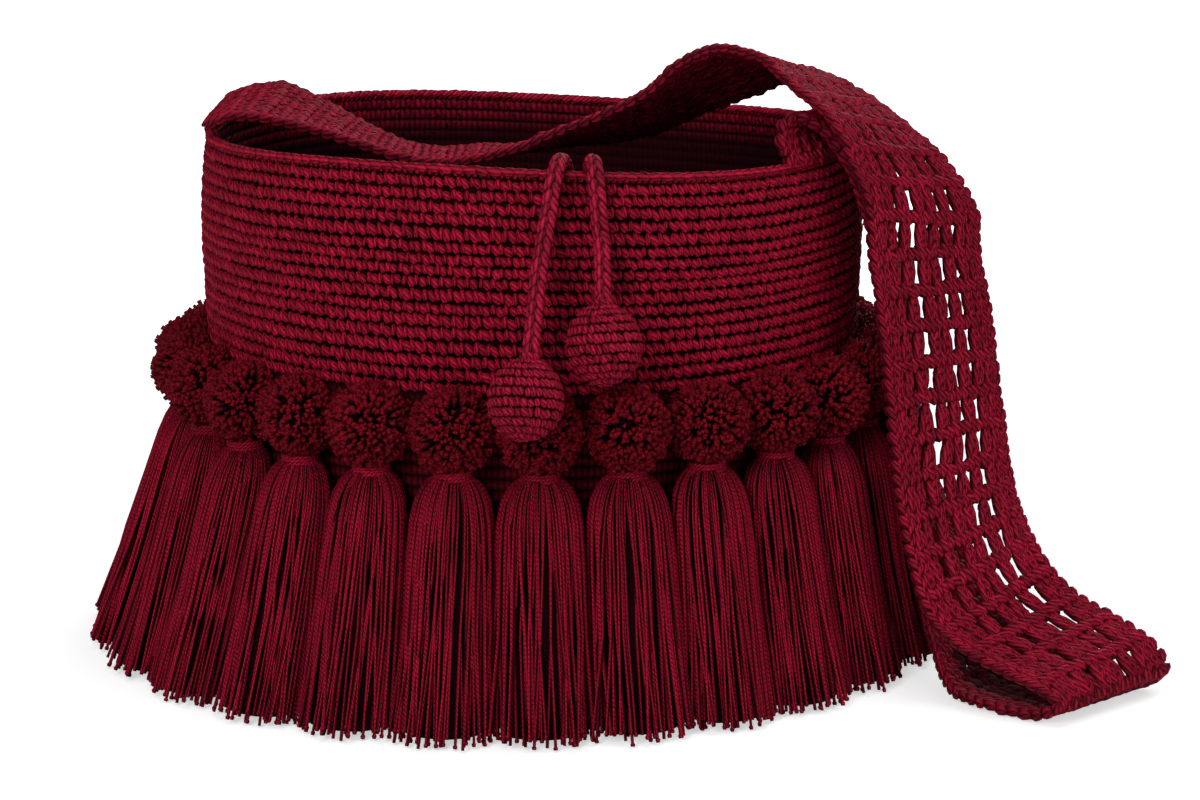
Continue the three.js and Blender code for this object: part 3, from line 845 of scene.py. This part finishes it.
def tassel_layer(index, count, fullness, lowest, loose=1.0):
    """Strands that hang from the neck, over the head's dome, to the floor.

    fullness widens the whole layer, lowest is the height of the feet, and loose is how freely
    the strands sway and stray.
    """
    angle = ornament_angle(index)
    top = POMPOM_BOTTOM + 0.5 * MM
    # Half the tassel's width at each depth below its top
    down = np.array([0, 2.0, 3.6, 6.8, 12, 20, 36, 64]) * MM
    width = np.array([6.6, 7.0, 10.2, 13.0, 15.4, 17.0, 18.0, 19.0]) * MM
    down = np.append(down, top)
    width = np.append(width, 20.8 * MM)
    share = np.clip((down - 3 * MM) / (top - 3 * MM), 0, 1)

    turn = 2 * np.pi * (np.arange(count) + loose * rng.uniform(-0.4, 0.4, count)) / count
    round_about = turn[:, None] + loose * rng.normal(0, 0.2, count)[:, None] * share
    size = fullness * (1 + loose * rng.uniform(-0.06, 0.04, count)[:, None])
    stray = np.clip(rng.standard_t(3, count), -3, 3.4)[:, None]
    size = size * (1 + loose * (0.01 + 0.06 * stray) * share**2)
    wave = loose * rng.uniform(0.2, 1.5, count)[:, None] * MM * share
    wave_turn = rng.uniform(0, 6.3, count)[:, None] + share * rng.uniform(4, 11, count)[:, None]
    hem_centre = hem_reach(angle) - 14 * MM
    centre = RING_RADIUS + (hem_centre - RING_RADIUS) * share
    foot = lowest + loose * rng.uniform(0, 5.5, count)[:, None] * MM
    out = centre + np.cos(round_about) * width * size * TASSEL_FLATNESS + wave * np.cos(wave_turn)
    side = np.sin(round_about) * width * size + wave * np.sin(wave_turn)
    paths = np.stack([out, side, np.maximum(top - down, foot)], axis=-1)
    beside = np.column_stack([-np.sin(turn), np.cos(turn), np.zeros(count)])
    return outside_wall(turned(paths, angle), STRAND_GAP), turned(beside, angle)


def with_knots(paths):
    """Ends each strand in a small knot."""
    end = paths[:, -1]
    way = unit(paths[:, -1] - paths[:, -2])
    knot = [end - way * 1.5 * MM, end - way * 0.9 * MM, end + way * 0.3 * MM]
    paths = np.concatenate([paths[:, :-1], np.stack(knot, axis=1)], axis=1)
    paths[..., 2] = np.maximum(paths[..., 2], 0.9 * MM)
    return paths


def tassel_filling(index):
    """The tassel's inside, as one closed skin painted wholly in the shade colour."""
    count = 16
    paths = tassel_layer(index, count, 0.82, 4 * MM, loose=0.0)[0]
    ends = paths.mean(axis=0)
    ends = np.broadcast_to(ends, paths.shape)
    paths = np.concatenate([ends[:, :1], paths, ends[:, -1:]], axis=1)[:, ::-1]
    obj, column, row = grid(f"filling_{index}", count, paths.shape[1] - 1)
    put_points(obj, paths[column % count, row])
    close_seams(obj)
    plain_values(obj)
    return obj


def tassel(index):
    """Knotted strands over an under layer and a filling."""
    outer, beside = tassel_layer(index, OUTER_STRANDS, 1.0, FLOOR_GAP)
    outer = with_knots(outer)
    # Each strand's radius, and the shade painted on it, from the neck to the knot
    girth = np.array([0.5, 0.5, 0.56, 0.64, 0.7, 0.77, 0.83, 0.88, 0.76, 1.25, 0.9]) * MM
    painted_shade = np.append([0.6, 0.5, 0.4, 0.25, 0.1], np.zeros(6))
    skirt = laid_strands(f"skirt_{index}", 3, outer, girth, beside, painted_shade, parted=1.0)
    inner, beside = tassel_layer(index, UNDER_STRANDS, 0.93, FLOOR_GAP)
    # The under layer gets a little painted shade, more on its strands' backs
    under = laid_strands(f"under_{index}", 3, inner, 0.84 * MM, beside, 0.12, parted=0.8)
    name = f"tassel_{index + 1:02d}"
    parts = [skirt, under, tassel_filling(index)]
    dress(joined(f"yarn_{name}", parts), "tassel_yarn", name)


def tassel_ties():
    """The yarn wound round each tassel's neck."""
    turns = np.linspace(0, TIE_TURNS * 2 * np.pi, 31)
    height = POMPOM_BOTTOM - 2.0 * MM + turns / turns[-1] * 3.4 * MM
    tie = around(turns, TIE_RADIUS, height) + [RING_RADIUS, 0, 0]
    paths = np.stack([turned(tie, ornament_angle(index)) for index in range(ORNAMENTS)])
    paths = outside_wall(paths, TIE_YARN)
    # The ties get a little painted shade
    obj = laid_strands("tassel_ties", 4, paths, TIE_YARN, UPRIGHT, 0.35)
    dress(obj, "tassel_yarn")


# Drawstring

LEFT_BALL = np.array([0.8, -184.5, 146.5]) * MM
RIGHT_BALL = np.array([32.4, -167, 165.5]) * MM
LEFT_ROUTE = np.array([
    [18.4, -128.4, 211],
    [18.4, -128.4, 219.5],
    [17.4, -129.6, 227.8],
    [16, -134.8, 234.3],
    [14.6, -142.6, 237.1],
    [13.2, -150.7, 235.4],
    [11.7, -156.7, 229.6],
    [10.4, -159.1, 221.6],
    [9, -161.6, 213.6],
    [7.7, -164.8, 205.8],
    [6.4, -168, 198],
]) * MM
RIGHT_ROUTE = np.array([
    [26, -126.4, 211],
    [26, -126.4, 219.3],
    [26.5, -127.7, 227.5],
    [27.2, -132.9, 233.8],
    [27.9, -140.7, 236.3],
    [28.7, -148.7, 234.4],
    [29.4, -154.4, 228.5],
    [30.1, -156.4, 220.6],
    [30.8, -157, 212.3],
    [31.6, -157.5, 204],
]) * MM


def braided_cord(name, route, ball, node):
    """Four lines of links, leaning in turn, round a close core."""
    direction = unit(route[-1] - ball)
    end = BALL_HEIGHT / 2
    stops = np.vstack([route, ball + direction * (end + CORD_DIAMETER), ball + direction * end])
    line = smooth_line(stops, 400)
    whole = travelled(line)[-1]
    line = np.vstack([line, line[-1] - direction * 2.5 * MM])
    length = travelled(line)
    tangent = unit(np.gradient(line, axis=0))
    count = int(length[-1] / CORD_LINK)

    centres, rights, ups, slants = [], [], [], []
    for turn, lean in ((45, 1), (-45, -1), (135, -1), (-135, 1)):
        travel = (np.arange(count) + 0.5 + 0.25 * lean) * CORD_LINK
        along = unit(looked_up(tangent, length, travel))
        front = unit(np.cross(along, [1.0, 0.02, 0.0]))
        beside = np.cross(along, front)
        out = front * math.cos(math.radians(turn)) + beside * math.sin(math.radians(turn))
        centres.append(looked_up(line, length, travel) + out * 2.05 * MM)
        rights.append(along)
        ups.append(np.cross(out, along))
        slants.append(np.radians(-21 * lean + rng.normal(0, 3, count)))
    size = np.array([4.4, 2.15, 1.75]) * MM * rng.normal(1, 0.04, (4 * count, 3))
    plait = worked(
        name, np.vstack(centres), np.vstack(rights), np.vstack(ups), size,
        np.concatenate(slants), fuller=0.12, parted=1.0, segments=8,
    )
    path = looked_up(line, length, np.linspace(0, whole, 40))
    across = np.array([[1.0, 0.02, 0.0]])
    # The core is painted mostly in shade
    core = laid_strands(f"{name}_core", 8, path[None], CORD_CORE, across, 0.9)
    cord = joined(name, [plait, core])
    dress(cord, "braided_cord", node)
    return cord, path, whole


def crocheted_ball(name, centre, route, node):
    """A stuffed ball worked round in rows, hung along its cord."""
    up_axis = unit(route[-1] - centre)
    right_axis = unit(np.cross(up_axis, [0.0, 1.0, 0.1]))
    axes = np.array([right_axis, np.cross(up_axis, right_axis), up_axis])
    row_height = math.pi * BALL_RADIUS / BALL_ROWS
    places, rights, ups, sizes = [], [], [], []
    for row in range(BALL_ROWS):
        lift = math.pi * (row + 0.5) / BALL_ROWS
        girth = math.sin(lift)
        count = max(5, round(2 * math.pi * BALL_RADIUS * girth / STITCH))
        turn = 2 * np.pi * (np.arange(count) + rng.uniform(0, 1)) / count
        turn = turn + rng.normal(0, 0.02, count)
        tilt = lift + 0.05 * np.cos(turn) * girth + rng.normal(0, 0.012, count)
        pear = 1 - 0.05 * np.clip(np.cos(tilt), 0, None)
        radius = (BALL_RADIUS - 1.5 * MM) * np.sin(tilt) * pear
        places.append(around(turn, radius, np.cos(tilt) * (BALL_HEIGHT / 2 - 1.6 * MM)))
        rights.append(round_way(turn))
        ups.append(around(turn, -np.cos(tilt), np.sin(tilt)))
        size = np.array([row_height * 0.53, 1.7 * MM, 1.9 * MM])
        sizes.append(size * rng.normal(1, 0.07, (count, 3)))
    # A last small round closes in on the cord
    count = 8
    neck = 2 * np.pi * np.arange(count) / count
    places.append(around(neck, 3.0 * MM, np.full(count, BALL_HEIGHT / 2)))
    rights.append(round_way(neck))
    ups.append(np.repeat(UPRIGHT, count, axis=0))
    sizes.append(np.tile([2.4 * MM, 1.6 * MM, 1.5 * MM], (count, 1)))
    places = np.vstack(places)
    knit = worked(
        name, centre + places @ axes, np.vstack(rights) @ axes, np.vstack(ups) @ axes,
        np.vstack(sizes), np.radians(112 + rng.normal(0, 12, len(places))), fuller=-0.1,
    )
    deselect_all()
    bpy.ops.mesh.primitive_uv_sphere_add(segments=24, ring_count=16, radius=1)
    core = bpy.context.object
    reach = np.array([BALL_RADIUS, BALL_RADIUS, BALL_HEIGHT / 2]) - 1.7 * MM
    put_points(core, centre + points_of(core) * reach @ axes)
    # The stuffed core is painted nearly wholly in shade
    plain_values(core, painted_shade=0.95)
    ball = joined(name, [knit, core])
    dress(ball, "crocheted_ball", node)
    return ball


# Materials

def set_inputs(node, values):
    for socket, value in values.items():
        node.inputs[socket].default_value = value


def noded_material(name):
    material = bpy.data.materials.new(name)
    material.use_nodes = True
    return material, material.node_tree.nodes, material.node_tree.links


def cotton_group():
    """Twisted cotton: plies along each strand, loose fibres, and painted shade in the grooves and
    hollows, which are also dull.
    """
    group = bpy.data.node_groups.new("twisted_cotton", "ShaderNodeTree")
    for way, kind, sockets in (
        ("INPUT", "Color", ("Colour", "Shade colour")),
        ("INPUT", "Vector", ("Strand",)),
        ("INPUT", "Float", ("Painted shade", "Tone", "Plies", "Twist", "Ply contrast", "Relief")),
        ("OUTPUT", "Color", ("Colour",)),
        ("OUTPUT", "Float", ("Roughness",)),
        ("OUTPUT", "Vector", ("Normal",)),
    ):
        for socket in sockets:
            group.interface.new_socket(socket, in_out=way, socket_type=f"NodeSocket{kind}")
    nodes, links = group.nodes, group.links
    given = nodes.new("NodeGroupInput")
    result = nodes.new("NodeGroupOutput")

    def work_out(operation, first, second=None, third=None, clamp=False):
        node = nodes.new("ShaderNodeMath")
        node.operation = operation
        node.use_clamp = clamp
        for socket, value in zip(node.inputs, (first, second, third)):
            if isinstance(value, (int, float)):
                socket.default_value = value
            elif value is not None:
                links.new(value, socket)
        return node.outputs[0]

    # Plies wind round each strand
    split = nodes.new("ShaderNodeSeparateXYZ")
    links.new(given.outputs["Strand"], split.inputs[0])
    turn = work_out("ARCTAN2", split.outputs["Y"], split.outputs["X"])
    wound = work_out("MULTIPLY", turn, given.outputs["Plies"])
    wound = work_out("MULTIPLY_ADD", split.outputs["Z"], given.outputs["Twist"], wound)
    ply = work_out("ABSOLUTE", work_out("SINE", work_out("MULTIPLY", wound, 0.5)))

    # Loose fibres and uneven dye
    place = nodes.new("ShaderNodeTexCoord")
    noises = []
    for scale, distortion in ((1200, 0.6), (45, 0)):
        noise = nodes.new("ShaderNodeTexNoise")
        set_inputs(noise, {"Scale": scale, "Detail": 3, "Distortion": distortion})
        links.new(place.outputs["Object"], noise.inputs["Vector"])
        noises.append(noise.outputs["Fac"])
    fibre, patch = noises

    light = work_out("MULTIPLY_ADD", given.outputs["Tone"], 0.5, 0.54)
    light = work_out("MULTIPLY_ADD", patch, 0.4, light)
    # Painted shade between the plies and painted light on their crowns, added to fine fibre noise
    # that lightens and darkens the colour
    shade = work_out("MULTIPLY_ADD", fibre, 1.8, 0.1)
    ply_shade = work_out("SUBTRACT", ply, 0.7)
    ply_shade = work_out("MULTIPLY_ADD", ply_shade, given.outputs["Ply contrast"], shade)
    tinted = nodes.new("ShaderNodeVectorMath")
    tinted.operation = "SCALE"
    links.new(given.outputs["Colour"], tinted.inputs[0])
    links.new(work_out("MULTIPLY", light, ply_shade), tinted.inputs["Scale"])

    # Painted shade: the colour goes over to the shade colour as the painted shade value rises
    shade_mix = nodes.new("ShaderNodeMix")
    shade_mix.data_type = "RGBA"
    links.new(work_out("POWER", given.outputs["Painted shade"], 0.8, clamp=True), shade_mix.inputs["Factor"])
    links.new(tinted.outputs[0], shade_mix.inputs["A"])
    links.new(given.outputs["Shade colour"], shade_mix.inputs["B"])
    links.new(shade_mix.outputs["Result"], result.inputs["Colour"])
    rough = work_out("MULTIPLY_ADD", fibre, 0.3, 0.5)
    rough = work_out("MAXIMUM", rough, given.outputs["Painted shade"], clamp=True)
    links.new(rough, result.inputs["Roughness"])

    bump = nodes.new("ShaderNodeBump")
    set_inputs(bump, {"Distance": 0.35 * MM})
    links.new(given.outputs["Relief"], bump.inputs["Strength"])
    links.new(work_out("MULTIPLY_ADD", fibre, 0.5, ply), bump.inputs["Height"])
    links.new(bump.outputs["Normal"], result.inputs["Normal"])
    return group


def yarn_material(name, group, colour, plies, ply_length, contrast, relief):
    material, nodes, links = noded_material(name)
    surface = nodes["Principled BSDF"]
    surface.inputs["Specular IOR Level"].default_value = 0.09
    yarn = nodes.new("ShaderNodeGroup")
    yarn.node_tree = group
    set_inputs(yarn, {
        "Colour": (*colour, 1),
        "Shade colour": (*SHADE_COLOUR, 1),
        "Plies": plies,
        "Twist": 2 * math.pi / ply_length,
        "Ply contrast": contrast,
        "Relief": relief,
    })
    for value, output, socket in (
        ("painted_shade", "Fac", "Painted shade"),
        ("tone", "Fac", "Tone"),
        ("strand", "Vector", "Strand"),
    ):
        reader = nodes.new("ShaderNodeAttribute")
        reader.attribute_name = value
        links.new(reader.outputs[output], yarn.inputs[socket])
    for output, socket in (
        ("Colour", "Base Color"),
        ("Roughness", "Roughness"),
        ("Normal", "Normal"),
    ):
        links.new(yarn.outputs[output], surface.inputs[socket])
    return material


def floor_material():
    """Pale and matt. The camera also sees a glow, full at a distance, that leaves it the shadow."""
    material, nodes, links = noded_material("pale_floor")
    nodes.clear()
    matte = nodes.new("ShaderNodeBsdfDiffuse")
    matte.inputs["Color"].default_value = (0.8, 0.8, 0.8, 1)
    glow = nodes.new("ShaderNodeEmission")
    path = nodes.new("ShaderNodeLightPath")
    seen = nodes.new("ShaderNodeMath")
    seen.operation = "MULTIPLY"
    place = nodes.new("ShaderNodeTexCoord")
    far = nodes.new("ShaderNodeVectorMath")
    far.operation = "LENGTH"
    level = nodes.new("ShaderNodeMapRange")
    set_inputs(level, {"From Min": 0.25, "From Max": 1.1, "To Min": 0.56, "To Max": 1.0})
    both = nodes.new("ShaderNodeAddShader")
    out = nodes.new("ShaderNodeOutputMaterial")
    links.new(place.outputs["Object"], far.inputs[0])
    links.new(far.outputs["Value"], level.inputs["Value"])
    links.new(path.outputs["Is Camera Ray"], seen.inputs[0])
    links.new(level.outputs[0], seen.inputs[1])
    links.new(seen.outputs[0], glow.inputs["Strength"])
    links.new(matte.outputs[0], both.inputs[0])
    links.new(glow.outputs[0], both.inputs[1])
    links.new(both.outputs[0], out.inputs["Surface"])
    return material


# Studio

def camera():
    """The photograph's place: a long lens a little above the bag, looking slightly down."""
    bpy.ops.object.camera_add(location=(0.0308, -1.421, 0.425), rotation=(math.radians(77.3), 0, 0))
    cam = bpy.context.object
    cam.data.sensor_width = 36
    cam.data.lens = 94.35
    cam.data.clip_start = 0.05
    bpy.context.scene.camera = cam


def soft_lamp(name, place, target, size, power):
    bpy.ops.object.light_add(type="AREA", location=place)
    lamp = bpy.context.object
    lamp.name = name
    lamp.data.size = size
    lamp.data.energy = power
    way = np.array(target) - np.array(place)
    flat = math.hypot(way[0], way[1])
    lamp.rotation_euler = (math.atan2(flat, -way[2]), 0, math.atan2(-way[0], way[1]))


def studio():
    bpy.ops.mesh.primitive_plane_add(size=16, location=(0, 0, 0))
    floor = bpy.context.object
    floor.name = "pale_floor"
    floor.data.materials.append(floor_material())
    soft_lamp("key", place=(-0.8, -2.0, 1.2), target=(0, 0, 0.12), size=0.9, power=26)
    soft_lamp("fill", place=(1.5, -1.7, 0.8), target=(0, 0, 0.1), size=1.4, power=9)
    soft_lamp("top", place=(0.3, -0.2, 2.0), target=(0, 0, 0.1), size=1.2, power=11)
    soft_lamp("back", place=(0.7, 1.8, 1.3), target=(0, 0, 0.1), size=1.2, power=15)
    world = bpy.data.worlds.new("studio")
    bpy.context.scene.world = world
    world.use_nodes = True
    nodes, links = world.node_tree.nodes, world.node_tree.links
    sky = nodes["Background"]
    sky.inputs["Color"].default_value = (1, 1, 1, 1)
    path = nodes.new("ShaderNodeLightPath")
    level = nodes.new("ShaderNodeMapRange")
    set_inputs(level, {"To Min": 0.12, "To Max": 1.0})
    links.new(path.outputs["Is Camera Ray"], level.inputs["Value"])
    links.new(level.outputs[0], sky.inputs["Strength"])
    bpy.context.scene.view_settings.view_transform = "Standard"


camera()
cotton = cotton_group()
yarns = {name: yarn_material(name, cotton, **finish) for name, finish in YARNS.items()}

for side, route, ball in (("left", LEFT_ROUTE, LEFT_BALL), ("right", RIGHT_ROUTE, RIGHT_BALL)):
    cord, line, length = braided_cord(f"cord_{side}", route, ball, f"drawstring_{side}")
    crochet = crocheted_ball(f"ball_{side}", ball, route, f"drawstring_ball_{side}")

edges = row_edges()
half = OUTER_ROWS // 2
body = [
    outer_rows("bag_wall_upper", edges, 0, half),
    outer_rows("bag_wall_lower", edges, half, OUTER_ROWS),
    backing_and_base(),
    inner_wall(),
    inner_floor(),
    rim_braid(),
]
for piece in body:
    dress(piece, "crocheted_wall", "bag_body")

band = Band()
row_pitch = band.total / STRAP_ROWS
for piece in (strap_bars(band, row_pitch), strap_posts(band, row_pitch), strap_edges(band)):
    dress(piece, "openwork_strap", "shoulder_strap")

pompoms()
for index in range(ORNAMENTS):
    tassel(index)
tassel_ties()

studio()
